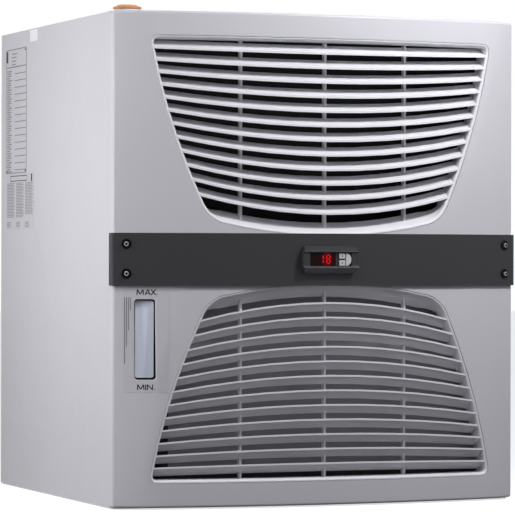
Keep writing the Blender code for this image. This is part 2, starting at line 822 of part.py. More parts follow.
def cylinder(name, place, radius, height, steps=TURNED_STEPS):
    shape = bmesh.new()
    bmesh.ops.create_cone(shape, cap_ends=True, segments=steps, radius1=radius, radius2=radius,
                          depth=height, matrix=place)
    return to_mesh(name, shape)


def vents_mesh():
    slots = []
    for column in (-1, 1):
        for row in range(VENT_ROWS):
            x = column * VENT_SPACING / 2
            z = TOP_Z - VENT_FROM_TOP - VENT_PITCH * row
            slots.append(((x - VENT_WIDTH / 2, REAR_Y - SHEET * 2, z - VENT_SLOT),
                          (x + VENT_WIDTH / 2, REAR_Y + SHEET, z)))
    return boxes("vents", slots)


def filler_place(z):
    return Matrix.Translation((FILLER_FROM_SIDE - HALF_WIDTH, CORNER_Y + FILLER_SETBACK, z))


def build_structure(dark, galvanised, coil_finish, tank_finish):
    """Posts, bulkhead, coil and tank behind the front."""
    outer = HALF_WIDTH - HOOD_WALL - FIT
    floor = SHEET + FIT
    ceiling = TOP_Z - TOP_DROP - FIT
    front = CORNER_Y + POST_SETBACK
    for name, side in (("front_left_post", -1), ("front_right_post", 1)):
        low_x, high_x = sorted((side * outer, side * (outer - POST_WALL)))
        post = box(name, (low_x, front, PAN_UPSTAND + FIT), (high_x, front + POST_WIDTH, ceiling))
        bevel(add(name, post, galvanised), POST_EDGE_RADIUS, 1)
    wide = HALF_WIDTH - 2 * SHEET - FIT - BULKHEAD_SIDE_GAP
    plate = folded_sheet("front_bulkhead", (-wide, BULKHEAD_Y, floor),
                         (wide, BULKHEAD_Y + FLANGE, ceiling), ("+y",))
    solidify(add("front_bulkhead", plate, dark), SHEET, -1)
    coil_back = BULKHEAD_Y - FIT
    coil_left = TANK_FROM_SIDE + TANK_WIDTH + COIL_CLEARANCE - HALF_WIDTH
    low = (coil_left, CORNER_Y + COIL_SETBACK, COIL_BASE_HEIGHT)
    high = (HALF_WIDTH - COIL_FROM_SIDE, coil_back, COIL_BASE_HEIGHT + COIL_HEIGHT)
    frame = add("condenser_frame", box("condenser_frame", low, high), dark)
    inside_low = (low[0] + COIL_FRAME, low[1] - COIL_FRAME, low[2] + COIL_FRAME)
    inside_high = (high[0] - COIL_FRAME, high[1] + COIL_FRAME, high[2] - COIL_FRAME)
    boolean(frame, guide("coil_opening", box("coil_opening", inside_low, inside_high)))
    core = box("condenser_core", (inside_low[0] + FIT, low[1] + 2 * FIT, inside_low[2] + FIT),
               (inside_high[0] - FIT, coil_back, inside_high[2] - FIT))
    add("condenser_core", core, coil_finish)
    build_tank(tank_finish)


def build_tank(finish):
    """Water tank, with a level window whose slanted face shows through the slot."""
    bottom = SHEET + FIT
    front = CORNER_Y + TANK_SETBACK
    low = (TANK_FROM_SIDE - HALF_WIDTH, front, bottom)
    high = (TANK_FROM_SIDE + TANK_WIDTH - HALF_WIDTH, BULKHEAD_Y - FIT, bottom + TANK_HEIGHT)
    bevel(add("water_tank", box("water_tank", low, high), finish), TANK_EDGE_RADIUS, 2)
    near = SLOT_FROM_SIDE - SLOT_WIDTH / 2 - WINDOW_MARGIN
    far = SLOT_FROM_SIDE + SLOT_WIDTH / 2 + WINDOW_MARGIN
    inset = crease_inset(SLOT_Z)
    slope = bow(HALF_WIDTH - inset) / inset
    outline = [
        (near - HALF_WIDTH, CORNER_Y - slope * near + SLOT_DEPTH),
        (far - HALF_WIDTH, CORNER_Y - slope * far + SLOT_DEPTH),
        (far - HALF_WIDTH, front - FIT),
        (near - HALF_WIDTH, front - FIT),
    ]
    half = SLOT_HEIGHT / 2 + WINDOW_MARGIN
    window = add("level_window", prism("level_window", outline, SLOT_Z - half, SLOT_Z + half, "z"), finish)
    bevel(window, TANK_EDGE_RADIUS / 2, 2)


def build_filler(plastic, cap_finish):
    tank_top = SHEET + FIT + TANK_HEIGHT
    length = TOP_Z + NECK_HEIGHT - tank_top - FIT
    half, bore = FILLER_TUBE / 2, FILLER_BORE / 2
    turned("filler_tube", [(bore, length), (half, length), (half, 0.0), (bore, 0.0), (bore, length)],
           filler_place(tank_top + FIT), plastic)
    collar = NECK_WIDTH / 2
    turned("filler_neck", [(half + FIT, NECK_HEIGHT), (collar - TURNED_EDGE, NECK_HEIGHT),
                           (collar, NECK_HEIGHT - TURNED_EDGE), (collar, FIT), (half + FIT, FIT),
                           (half + FIT, NECK_HEIGHT)],
           filler_place(TOP_Z), plastic, CAP_STEPS)
    skirt, crown = CAP_SKIRT / 2, CAP_CROWN / 2
    base = NECK_HEIGHT + FIT
    turned("filler_cap", [(0.0, CAP_HEIGHT), (crown - TURNED_EDGE, CAP_HEIGHT),
                          (crown, CAP_HEIGHT - TURNED_EDGE), (crown + CAP_TAPER, CAP_SKIRT_HEIGHT),
                          (skirt - TURNED_EDGE, CAP_SKIRT_HEIGHT),
                          (skirt, CAP_SKIRT_HEIGHT - TURNED_EDGE), (skirt, base), (0.0, base)],
           filler_place(TOP_Z), cap_finish, CAP_STEPS)


# Rear fittings

def rear_place(x, z):
    """Turned parts on the rear panel point along +Y."""
    return Matrix.Translation((x, REAR_Y, z)) @ Matrix.Rotation(-pi / 2, 4, "X")


def rear_hole(rear, name, x, z, radius):
    boolean(rear, guide(name, cylinder(name, rear_place(x, z), radius, HOLE_REACH)))


def build_ports(rear, metal):
    bore, body, flange = PORT_BORE / 2, PORT_BODY / 2, PORT_FLANGE / 2
    blind = PORT_REACH - PORT_BORE_DEPTH
    inner = blind - PORT_END_WALL
    for name, step in (("water_outlet_port", 0), ("water_inlet_port", 1)):
        x = PORT_FROM_MIDDLE - PORT_SPACING * step
        turned(name, [(0.0, blind), (bore, blind), (bore, PORT_REACH), (body - TURNED_EDGE, PORT_REACH),
                      (body, PORT_REACH - TURNED_EDGE), (body, PORT_FLANGE_SHEET),
                      (flange - TURNED_EDGE, PORT_FLANGE_SHEET), (flange, PORT_FLANGE_SHEET - TURNED_EDGE),
                      (flange, FIT), (body, FIT), (body, inner), (0.0, inner)],
               rear_place(x, PORT_HEIGHT), metal)
        rear_hole(rear, name + "_hole", x, PORT_HEIGHT, body + FIT)
    body, flange = DRAIN_BODY / 2, DRAIN_FLANGE / 2
    x = PORT_FROM_MIDDLE - PORT_SPACING / 2
    turned("drain_port", [(0.0, DRAIN_REACH), (body - TURNED_EDGE, DRAIN_REACH),
                          (body, DRAIN_REACH - TURNED_EDGE), (body, DRAIN_FLANGE_SHEET),
                          (flange, DRAIN_FLANGE_SHEET), (flange, FIT), (body, FIT),
                          (body, -FITTING_INSERT), (0.0, -FITTING_INSERT)],
           rear_place(x, DRAIN_HEIGHT), metal)
    rear_hole(rear, "drain_hole", x, DRAIN_HEIGHT, body + FIT)


def build_gland(rear, plastic):
    body, nut = GLAND_BODY / 2, GLAND_NUT / 2
    x = GLAND_FROM_SIDE - HALF_WIDTH
    turned("cable_gland", [(0.0, GLAND_REACH), (body - GLAND_CROWN, GLAND_REACH),
                           (body, GLAND_REACH - GLAND_CROWN), (body, GLAND_NUT_HEIGHT),
                           (nut, GLAND_NUT_HEIGHT - TURNED_EDGE), (nut, FIT), (body, FIT),
                           (body, -FITTING_INSERT), (0.0, -FITTING_INSERT)],
           rear_place(x, GLAND_HEIGHT), plastic)
    rear_hole(rear, "gland_hole", x, GLAND_HEIGHT, body + FIT)


def main():
    clear_scene()
    collection(PARTS)
    collection(CUTTERS)
    paint = material("grey_paint", (0.56, 0.56, 0.58), 0.42)
    hood_paint = material("hood_grey", (0.56, 0.56, 0.58), 0.38)
    grille_paint = material("grille_grey", (0.62, 0.62, 0.64), 0.36)
    charcoal = material("charcoal_paint", (0.045, 0.045, 0.05), 0.5)
    dark = material("black_sheet", (0.01, 0.01, 0.011), 0.7)
    galvanised = material("galvanised_steel", (0.5, 0.52, 0.54), 0.45, 0.9)
    coil = material("coil_fins", (0.03, 0.03, 0.032), 0.6, 0.5)
    tank = material("tank_plastic", (0.55, 0.57, 0.65), 0.4)
    case = material("case_plastic", (0.03, 0.03, 0.033), 0.35)
    glass = material("display_window", (0.02, 0.002, 0.003), 0.1)
    keys = material("key_silver", (0.6, 0.6, 0.62), 0.35, 0.2)
    orange = material("cap_orange", (0.7, 0.12, 0.02), 0.4)
    white = material("white_plastic", (0.7, 0.7, 0.7), 0.4)
    brass = material("port_brass", (0.7, 0.5, 0.22), 0.3, 1.0)
    black = material("gland_plastic", (0.02, 0.02, 0.02), 0.45)

    build_hood("upper_hood", 1, hood_paint, [case_opening("upper_case_opening", FIT)])
    build_hood("lower_hood", -1, hood_paint, [case_opening("lower_case_opening", FIT), slot_cutter()])
    build_grille("upper_grille", 1, grille_paint)
    build_grille("lower_grille", -1, grille_paint)
    build_band(charcoal)
    build_case(case)
    build_controls(glass, keys)
    rear = build_cabinet(paint, galvanised)
    build_structure(dark, galvanised, coil, tank)
    build_filler(white, orange)
    build_ports(rear, brass)
    build_gland(rear, black)


main()
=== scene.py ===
"""Looks of the water chiller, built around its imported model."""
from math import ceil, cos, hypot, pi, radians, sin

import bmesh
import bpy
from mathutils import Matrix, Vector
from mathutils.bvhtree import BVHTree


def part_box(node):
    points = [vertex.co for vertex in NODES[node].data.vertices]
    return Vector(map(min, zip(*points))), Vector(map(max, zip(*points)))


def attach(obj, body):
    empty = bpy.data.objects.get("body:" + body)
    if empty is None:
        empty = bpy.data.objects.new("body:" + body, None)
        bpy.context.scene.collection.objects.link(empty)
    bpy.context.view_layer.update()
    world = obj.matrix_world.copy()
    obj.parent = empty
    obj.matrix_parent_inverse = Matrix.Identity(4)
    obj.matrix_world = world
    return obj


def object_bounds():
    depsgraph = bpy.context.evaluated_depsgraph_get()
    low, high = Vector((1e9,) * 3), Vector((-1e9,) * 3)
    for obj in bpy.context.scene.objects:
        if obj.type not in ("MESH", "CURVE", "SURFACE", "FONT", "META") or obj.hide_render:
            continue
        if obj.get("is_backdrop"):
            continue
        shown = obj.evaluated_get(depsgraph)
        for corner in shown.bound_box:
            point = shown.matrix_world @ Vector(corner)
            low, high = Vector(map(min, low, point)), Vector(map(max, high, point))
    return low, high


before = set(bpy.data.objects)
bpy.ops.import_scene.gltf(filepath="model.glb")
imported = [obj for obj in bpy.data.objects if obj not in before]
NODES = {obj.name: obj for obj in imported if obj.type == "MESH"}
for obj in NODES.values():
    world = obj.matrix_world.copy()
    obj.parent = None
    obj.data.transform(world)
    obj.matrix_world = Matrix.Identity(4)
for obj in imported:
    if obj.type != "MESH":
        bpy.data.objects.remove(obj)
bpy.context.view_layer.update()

SCENE = bpy.context.scene

# Camera, from the photo's perspective: metres, degrees, lens and sensor in millimetres, shift as a share

CAMERA_PLACE = (-1.5739, -4.0764, 0.3223)
CAMERA_TURN = (90.0, -0.126, -21.27)
CAMERA_LENS, SENSOR_WIDTH = 219.46, 36.0
CAMERA_SHIFT = 0.0039
CAMERA_CLIP = (0.1, 60.0)

# Thin printed things: how far they stand off what carries them, and their thickness or top, in metres

FILM_LIFT, FILM_SHEET = 0.00010, 0.00012
LABEL_LIFT, LABEL_SHEET = 0.00008, 0.00012
INK_GAP, INK_SHEET = 0.00003, 0.00008
SIGN_LIFT, SIGN_TOP = 0.00004, 0.00012

# Level slot: film round the window, a black ring at the window's edge as painted shade of the slot's
# reveal, scale lines and marks beside it, in metres

FILM_X, FILM_Z = (-0.2714, -0.2152), (0.1511, 0.2860)
FILM_HOLE_X, FILM_HOLE_Z = (-0.2592, -0.2296), (0.1660, 0.2734)
FILM_PITCH = 0.006
# Black ring at the window's edge: painted shade of the slot's reveal
SHADE_RING_X, SHADE_RING_Z, SHADE_RING_RADIUS = (-0.2575, -0.2290), (0.1655, 0.2740), 0.002
GLASS_X, GLASS_Z, GLASS_RADIUS = (-0.2554, -0.2326), (0.1698, 0.2690), 0.0028
SHADE_RING_LIFT, SHADE_RING_RISE = 0.0001, 0.0006
SCALE_LINES = ((-0.2696, 0.1883), (-0.2672, 0.2103), (-0.2648, 0.2313), (-0.2625, 0.2563))
SCALE_TOP, SCALE_HALF_WIDTH, SCALE_PITCH = 0.2733, 0.0004, 0.008
MARK_LEFT, STROKE = -0.2544, 0.0013
MAX_BOTTOM, MAX_HEIGHT = 0.2764, 0.0071
MIN_BOTTOM, MIN_HEIGHT = 0.1545, 0.0069

# Letters of the level marks: advance and straight strokes from point to point, in shares of their height

GLYPHS = {
    "M": (1.40, ((0.0, 0.0, 0.07, 1.0), (0.07, 1.0, 0.56, 0.12), (0.56, 0.12, 1.05, 1.0),
                 (1.05, 1.0, 1.12, 0.0))),
    "A": (1.02, ((0.0, 0.0, 0.45, 1.0), (0.45, 1.0, 0.9, 0.0), (0.17, 0.3, 0.73, 0.3))),
    "X": (1.09, ((0.0, 0.0, 0.82, 1.0), (0.0, 1.0, 0.82, 0.0))),
    "I": (0.32, ((0.0, 0.0, 0.0, 1.0),)),
    "N": (1.20, ((0.0, 0.0, 0.0, 1.0), (0.0, 1.0, 0.88, 0.0), (0.88, 0.0, 0.88, 1.0))),
    ".": (0.20, ((0.0, 0.0, 0.0, 0.16),)),
}

# Labels on the left side panel, in metres; a line of print starts at its higher y

SIDE_PLANE = -0.284
BORDER, BORDER_GAP = 0.0011, 0.0001
TABLE_Y, TABLE_Z = (0.1275, 0.2260), (0.4433, 0.6190)
TABLE_HEADER, TABLE_ROWS, TABLE_PITCH = 0.0258, 15, 0.0097
TABLE_MARGIN, HEADER_RULE, ROW_RULE, ROW_RULE_END = 0.003, 0.0012, 0.0010, 0.056
ENTRIES_PER_ROW, ENTRY_INSET, ENTRY_HEIGHT = 3, 0.004, 0.0019
ENTRY_INDENTS, ENTRY_LENGTHS = (0.0, 0.002, 0.001), (0.023, 0.018, 0.021, 0.016)
HEADING_LINES, HEADING_INSET, HEADING_PITCH, HEADING_HEIGHT = 4, 0.006, 0.005, 0.0016
HEADING_START, HEADING_END, HEADING_STEP = 0.070, 0.046, 0.002
CORNER_INSET = 2 * BORDER
CORNER_BLOCK, CORNER_BAR = (0.008, 0.016), (0.006, 0.002)
NOTE_Y, NOTE_Z = (0.0910, 0.2220), (0.3635, 0.4425)
NOTE_COLUMNS = ((0.2200, 23), (0.1760, 23), (0.1330, 21))
NOTE_COLUMN_WIDTH, NOTE_INSET, NOTE_PITCH, NOTE_LINE_HEIGHT = 0.0370, 0.013, 0.00215, 0.0011
NOTE_SHORTFALLS = (0.0, 0.004, 0.001, 0.006, 0.002)
NOTE_FOOT_LINES, NOTE_FOOT_RISE, NOTE_FOOT_WIDTHS = 4, 0.011, (0.020, 0.017)
NOTE_BOX_Y, NOTE_BOX_Z = (0.124, 0.204), (0.4318, 0.4398)
NOTE_FLAG = (0.1000, 0.1050, 0.4305, 0.4412)
STICKER_Y, STICKER_Z = (0.0760, 0.1110), (0.6245, 0.6405)

# Band fasteners: places in metres, and profiles of (radius, height)

FASTENER_X, FASTENER_RISE, FASTENER_LIFT = 0.2685, 0.0191, 0.0007
WASHER_PROFILE = ((0.0, 0.0001), (0.0066, 0.0001), (0.0066, 0.0009), (0.0058, 0.0018), (0.0049, 0.0018),
                  (0.0044, 0.0008), (0.0, 0.0008))
SCREW_PROFILE = ((0.0, 0.0009), (0.0033, 0.0009), (0.0033, 0.0026), (0.0029, 0.0035), (0.0022, 0.0039),
                 (0.0018, 0.0039), (0.0017, 0.0019), (0.0, 0.0019))
# Black hex in each screw's socket: painted shade
SOCKET_SHADE_PROFILE = ((0.0, 0.0020), (0.0016, 0.0020), (0.0016, 0.0034), (0.0, 0.0034))
WASHER_SIDES, SCREW_SIDES, SOCKET_SHADE_SIDES = 40, 36, 6

# Controller: digits, the haze behind them and the arrows on the keys, in metres

SEGMENT, DIGIT_Z = 0.0012, (0.3175, 0.3283)
SEGMENT_GAP = 0.62 * SEGMENT
ONE_X, EIGHT_X = -0.0142, (-0.0091, -0.0047)
GLOW_X, GLOW_Z = -0.0085, 0.3229
GLOW_REACH = (0.002, 0.0085)
ARROW_HALF_WIDTH, ARROW_FOOT, ARROW_TIP = 0.0014, 0.0009, 0.0013

# Filler cap and rear panel, in metres, with profiles of (radius, height)

CAP_RIBS, CAP_RIB_SIDES = 48, 8
CAP_RIB_OFFSET, CAP_RIB_LIFT = 0.0001, 0.0003
CAP_RIB_PROFILE = ((0.0, 0.0), (0.0006, 0.0), (0.0006, 0.0016), (0.0003, 0.0020), (0.0, 0.0020))
REAR_SCREW_INSET, PAN_HEAD_SIDES = 0.009, 20
PAN_HEAD_PROFILE = ((0.0, 0.0001), (0.0038, 0.0001), (0.0037, 0.0012), (0.0029, 0.0021), (0.0009, 0.0024),
                    (0.0008, 0.0012), (0.0, 0.0012))

# Making of the shapes: lengths in metres, PITCH_SLACK in steps, SHARP_ANGLE in degrees

UNDIVIDED = 1.0  # a pitch longer than any bar
CORNER_STEPS = 5
RAY_START = -1.0
NORMAL_REACH = 0.002
PITCH_SLACK, HOLE_SLACK = 0.001, 1e-6
WELD_DISTANCE = 0.00001
SHARP_ANGLE = 32

# Paint: noise scales per metre, grain depth in metres, and the rest as the sockets of the shaders take it

NOISE_ROUGHNESS, NOISE_RANGE = 0.55, (0.3, 0.7)
CLOUD_SCALE, CLOUD_DETAIL, CLOUD_SHARE = 9.0, 4.0, 0.015
GLOSS_SCALE, GLOSS_DETAIL, GLOSS_SHARE = 40.0, 3.0, 0.04
GRAIN_SCALE, GRAIN_DETAIL, GRAIN_DEPTH = 900.0, 2.0, 0.00002
SATIN_SPECULAR, DARK_GLOSS_SPECULAR = 0.22, 0.06
DIGIT_COLOUR, DIGIT_STRENGTH = (0.62, 0.002, 0.004, 1.0), 0.55
GLOW_COLOUR, GLOW_STRENGTH, GLOW_LEFT_OVER = (0.5, 0.0, 0.002, 1.0), 0.22, 0.004
GLOW_SQUEEZE = 0.62

# Floor, sky and lamps; each lamp has its place and side in metres and its power in watts

FLOOR_SIZE, FLOOR_ROUGHNESS = 14.0, 0.9
DULL_FLOOR, PALE_FLOOR, FLOOR_GLOW = (0.06, 0.06, 0.06, 1.0), (0.6, 0.6, 0.6, 1.0), 0.70
SKY_COLOUR, SKY_STRENGTH, SKY_FULL_HEIGHT = (0.95, 0.96, 1.06, 1.0), 0.27, 0.4
WHITE = (1.0, 1.0, 1.0, 1.0)
LAMP_TARGET = Vector((0.0, -0.2, 0.32))
LAMPS = {
    "key": ((0.37, -0.86, 1.08), 0.12, 7.4),
    "side_light": ((-0.98, -0.2, 0.47), 0.4, 4.6),
    "side_top_light": ((-0.9, 0.32, 0.7), 0.5, 0.6),
    "front_fill": ((-1.2, -1.6, 1.95), 1.0, 13.0),
    "right_fill": ((0.73, -0.93, 0.7), 0.5, 0.7),
}


# Camera

def make_camera():
    data = bpy.data.cameras.new("camera")
    data.sensor_width = SENSOR_WIDTH
    data.lens = CAMERA_LENS
    data.shift_y = CAMERA_SHIFT
    data.clip_start, data.clip_end = CAMERA_CLIP
    camera = bpy.data.objects.new("camera", data)
    SCENE.collection.objects.link(camera)
    camera.location = CAMERA_PLACE
    camera.rotation_mode = "XYZ"
    camera.rotation_euler = [radians(angle) for angle in CAMERA_TURN]
    SCENE.camera = camera


make_camera()


# Node materials

class Finish:
    """A node material that starts from one Principled shader."""

    def __init__(self, name, colour, roughness):
        self.material = bpy.data.materials.new(name)
        self.material.use_nodes = True
        self.nodes = self.material.node_tree.nodes
        self.links = self.material.node_tree.links
        self.shader = self.nodes["Principled BSDF"]
        self.set("Base Color", (*colour, 1.0))
        self.set("Roughness", roughness)
        self.place = self.add("ShaderNodeTexCoord").outputs["Object"]

    def set(self, socket, value):
        self.shader.inputs[socket].default_value = value

    def add(self, kind, **settings):
        node = self.nodes.new(kind)
        for key, value in settings.items():
            setattr(node, key, value)
        return node

    def link(self, start, end):
        self.links.new(start, end)

    def noise(self, scale, detail):
        node = self.add("ShaderNodeTexNoise")
        node.inputs["Scale"].default_value = scale
        node.inputs["Detail"].default_value = detail
        node.inputs["Roughness"].default_value = NOISE_ROUGHNESS
        self.link(self.place, node.inputs["Vector"])
        return node.outputs["Fac"]

    def spread(self, source, span, low, high):
        """Value that goes from low to high while the source crosses the span."""
        node = self.add("ShaderNodeMapRange")
        for socket, value in zip(("From Min", "From Max", "To Min", "To Max"), (*span, low, high)):
            node.inputs[socket].default_value = value
        self.link(source, node.inputs["Value"])
        return node.outputs["Result"]

    def mix(self, share, first, second):
        node = self.add("ShaderNodeMix", data_type="RGBA")
        self.link(share, node.inputs["Factor"])
        node.inputs["A"].default_value = (*first, 1.0)
        node.inputs["B"].default_value = (*second, 1.0)
        return node.outputs["Result"]

    def bump(self, height, distance):
        node = self.add("ShaderNodeBump")
        node.inputs["Distance"].default_value = distance
        self.link(height, node.inputs["Height"])
        self.link(node.outputs["Normal"], self.shader.inputs["Normal"])


def tint(colour, factor):
    return tuple(channel * factor for channel in colour)


def painted(name, colour, roughness, depth=GRAIN_DEPTH):
    """Powder-coated or moulded surface: fine grain, faint mottling and uneven gloss."""
    finish = Finish(name, colour, roughness)
    finish.set("Specular IOR Level", SATIN_SPECULAR)
    cloud = finish.spread(finish.noise(CLOUD_SCALE, CLOUD_DETAIL), NOISE_RANGE, 0.0, 1.0)
    mottled = finish.mix(cloud, tint(colour, 1 - CLOUD_SHARE), tint(colour, 1 + CLOUD_SHARE))
    finish.link(mottled, finish.shader.inputs["Base Color"])
    uneven = finish.spread(finish.noise(GLOSS_SCALE, GLOSS_DETAIL), NOISE_RANGE,
                           roughness - GLOSS_SHARE, roughness + GLOSS_SHARE)
    finish.link(uneven, finish.shader.inputs["Roughness"])
    finish.bump(finish.noise(GRAIN_SCALE, GRAIN_DETAIL), depth)
    return finish


LOOKS = {
    "panel": painted("panel_paint", (0.56, 0.553, 0.592), 0.42),
    "hood": painted("hood_paint", (0.580, 0.574, 0.617), 0.36),
    "grille": painted("grille_paint", (0.75, 0.745, 0.78), 0.38),
    "charcoal": painted("charcoal_paint", (0.029, 0.029, 0.033), 0.5),
    # Near-black sheet: painted shade of the cabinet's inside seen through the grilles
    "black": painted("black_sheet", (0.008, 0.008, 0.009), 0.65),
    "galvanised": painted("galvanised", (0.55, 0.57, 0.6), 0.4),
    "fins": painted("coil_fins", (0.24, 0.24, 0.25), 0.5),
    "case": painted("case_plastic", (0.03, 0.03, 0.033), 0.36),
    "glass": painted("display_window", (0.012, 0.002, 0.003), 0.12, depth=0.0),
    "key": painted("key_silver", (0.55, 0.55, 0.57), 0.35),
    "tank": painted("tank_plastic", (0.80, 0.84, 0.97), 0.4),
    "white": painted("white_plastic", (0.75, 0.75, 0.75), 0.4),
    "orange": painted("orange_plastic", (0.72, 0.33, 0.13), 0.42),
    "brass": painted("port_brass", (0.75, 0.55, 0.28), 0.3),
    "gland": painted("gland_plastic", (0.02, 0.02, 0.02), 0.45),
    "film": painted("level_film", (0.54, 0.534, 0.572), 0.3),
    "label": painted("label_film", (0.52, 0.515, 0.55), 0.35),
    "sticker": painted("sticker_white", (0.82, 0.82, 0.84), 0.35),
    "ink": painted("dark_ink", (0.012, 0.012, 0.014), 0.5, depth=0.0),
    "grey_ink": painted("grey_ink", (0.13, 0.13, 0.15), 0.5, depth=0.0),
    "text_ink": painted("text_ink", (0.24, 0.24, 0.26), 0.5, depth=0.0),
    # Black of the cup washers, also used as painted shade in the level slot and the screw sockets
    "black_gloss": painted("washer_black_and_painted_shade", (0.004, 0.004, 0.005), 0.3, depth=0.0),
    "steel": painted("screw_steel", (0.24, 0.24, 0.25), 0.28),
    "digits": painted("lit_digits", (0.6, 0.004, 0.004), 0.4, depth=0.0),
}
for metal, share in (("galvanised", 0.9), ("brass", 1.0), ("steel", 0.9)):
    LOOKS[metal].set("Metallic", share)
for dark in ("glass", "black_gloss"):
    LOOKS[dark].set("Specular IOR Level", DARK_GLOSS_SPECULAR)
LOOKS["digits"].set("Emission Color", DIGIT_COLOUR)
LOOKS["digits"].set("Emission Strength", DIGIT_STRENGTH)


def glow_behind_digits():
    """Red haze in the display window round the digits."""
    finish = LOOKS["glass"]
    flatten = finish.add("ShaderNodeVectorMath", operation="MULTIPLY")
    flatten.inputs[1].default_value = (1.0, 0.0, GLOW_SQUEEZE)
    finish.link(finish.place, flatten.inputs[0])
    away = finish.add("ShaderNodeVectorMath", operation="DISTANCE")
    away.inputs[1].default_value = (GLOW_X, 0.0, GLOW_Z * GLOW_SQUEEZE)
    finish.link(flatten.outputs["Vector"], away.inputs[0])
    haze = finish.spread(away.outputs["Value"], GLOW_REACH, GLOW_STRENGTH, GLOW_LEFT_OVER)
    finish.link(haze, finish.shader.inputs["Emission Strength"])
    finish.set("Emission Color", GLOW_COLOUR)


glow_behind_digits()

# Front bulkhead and condenser frame take the near-black sheet as painted shade of the inside behind the
# grilles
NODE_LOOKS = {
    "upper_hood": "hood", "lower_hood": "hood", "upper_grille": "grille", "lower_grille": "grille",
    "control_band": "charcoal", "left_side_panel": "panel", "right_side_panel": "panel",
    "top_panel": "panel", "rear_panel": "panel", "base_pan": "galvanised",
    "front_bulkhead": "black", "front_left_post": "galvanised", "front_right_post": "galvanised",
    "condenser_frame": "black", "condenser_core": "fins", "water_tank": "tank",
    "level_window": "tank", "filler_tube": "white", "filler_neck": "white", "filler_cap": "orange",
    "controller_case": "case", "controller_display": "glass", "controller_up_key": "key",
    "controller_down_key": "key", "controller_set_key": "key", "water_outlet_port": "brass",
    "water_inlet_port": "brass", "drain_port": "brass", "cable_gland": "gland",
}


def smoothing_group():
    """Geometry nodes that shade a faceted solid smooth, except at its real edges."""
    group = bpy.data.node_groups.new("smooth_faces", "GeometryNodeTree")
    group.interface.new_socket("Geometry", in_out="INPUT", socket_type="NodeSocketGeometry")
    group.interface.new_socket("Geometry", in_out="OUTPUT", socket_type="NodeSocketGeometry")
    nodes, links = group.nodes, group.links
    start, end = nodes.new("NodeGroupInput"), nodes.new("NodeGroupOutput")
    clear = nodes.new("GeometryNodeRemoveAttribute")
    clear.inputs["Name"].default_value = "custom_normal"
    smooth = nodes.new("GeometryNodeSetShadeSmooth")
    smooth.domain = "FACE"
    sharp = nodes.new("GeometryNodeSetShadeSmooth")
    sharp.domain = "EDGE"
    sharp.inputs["Shade Smooth"].default_value = False
    angle = nodes.new("GeometryNodeInputMeshEdgeAngle")
    over = nodes.new("FunctionNodeCompare")
    over.operation = "GREATER_THAN"
    over.inputs[1].default_value = radians(SHARP_ANGLE)
    links.new(start.outputs[0], clear.inputs["Geometry"])
    links.new(clear.outputs["Geometry"], smooth.inputs["Geometry"])
    links.new(smooth.outputs["Geometry"], sharp.inputs["Geometry"])
    links.new(angle.outputs["Unsigned Angle"], over.inputs[0])
    links.new(over.outputs["Result"], sharp.inputs["Selection"])
    links.new(sharp.outputs["Geometry"], end.inputs[0])
    return group


SMOOTHING = smoothing_group()


def dress_nodes():
    """Give each CAD node its look, and soften only the edges that its facets make."""
    for name, look in NODE_LOOKS.items():
        item = NODES[name]
        item.data.materials.clear()
        item.data.materials.append(LOOKS[look].material)
        weld = item.modifiers.new("weld", "WELD")
        weld.merge_threshold = WELD_DISTANCE
        shade = item.modifiers.new("shade", "NODES")
        shade.node_group = SMOOTHING
        weighted = item.modifiers.new("normals", "WEIGHTED_NORMAL")
        weighted.keep_sharp = True


dress_nodes()


# Seats: functions that lay a point on a surface, lifted off it by a height

def node_tree(name):
    """Search tree over one CAD node's faces, in scene coordinates."""
    item = NODES[name]
    points = [item.matrix_world @ vertex.co for vertex in item.data.vertices]
    return BVHTree.FromPolygons(points, [tuple(face.vertices) for face in item.data.polygons])


def front_seat(name):
    """Seat for (x, z) on the front of a node, however that is curved."""
    tree = node_tree(name)

    def seat(x, z, lift):
        place, normal, _, _ = tree.ray_cast(Vector((x, RAY_START, z)), Vector((0.0, 1.0, 0.0)))
        return place + normal * lift

    return seat


def plane_seat(plane, outward):
    """Seat for (x, z) on an upright plane; outward is -1 on the front and 1 on the rear."""
    def seat(x, z, lift):
        return Vector((x, plane + outward * lift, z))

    return seat


def side_seat(y, z, lift):
    """Seat for (y, z) on the left side panel."""
    return Vector((SIDE_PLANE - lift, y, z))


def stand_on(seat, u, v):
    """Placement whose Z axis is the surface's own direction at a seated point."""
    origin = seat(u, v, 0.0)
    outward = (seat(u, v, NORMAL_REACH) - origin).normalized()
    return Matrix.Translation(origin) @ outward.to_track_quat("Z", "Y").to_matrix().to_4x4()


# Shapes of the small pieces

def finish_piece(name, shape, look, smooth=False):
    """Turn a bmesh into a named piece that rides on the cabinet."""
    bmesh.ops.recalc_face_normals(shape, faces=shape.faces)
    mesh = bpy.data.meshes.new(name)
    shape.to_mesh(mesh)
    shape.free()
    mesh.materials.append(LOOKS[look].material)
    piece = bpy.data.objects.new(name, mesh)
    SCENE.collection.objects.link(piece)
    if smooth:
        shade = piece.modifiers.new("shade", "NODES")
        shade.node_group = SMOOTHING
    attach(piece, "root")


def spaced(start, end, pitch):
    """Even places from start to end, no further apart than the pitch."""
    steps = max(1, ceil(abs(end - start) / pitch - PITCH_SLACK))
    return [start + (end - start) * step / steps for step in range(steps + 1)]


def film_places(outer, hole):
    """Places across the film that fall on both edges of its hole too."""
    edges = (outer[0], *hole, outer[1])
    places = [outer[0]]
    for start, end in zip(edges, edges[1:]):
        places += spaced(start, end, FILM_PITCH)[1:]
    return places


def inside(value, span):
    return span[0] - HOLE_SLACK < value < span[1] + HOLE_SLACK


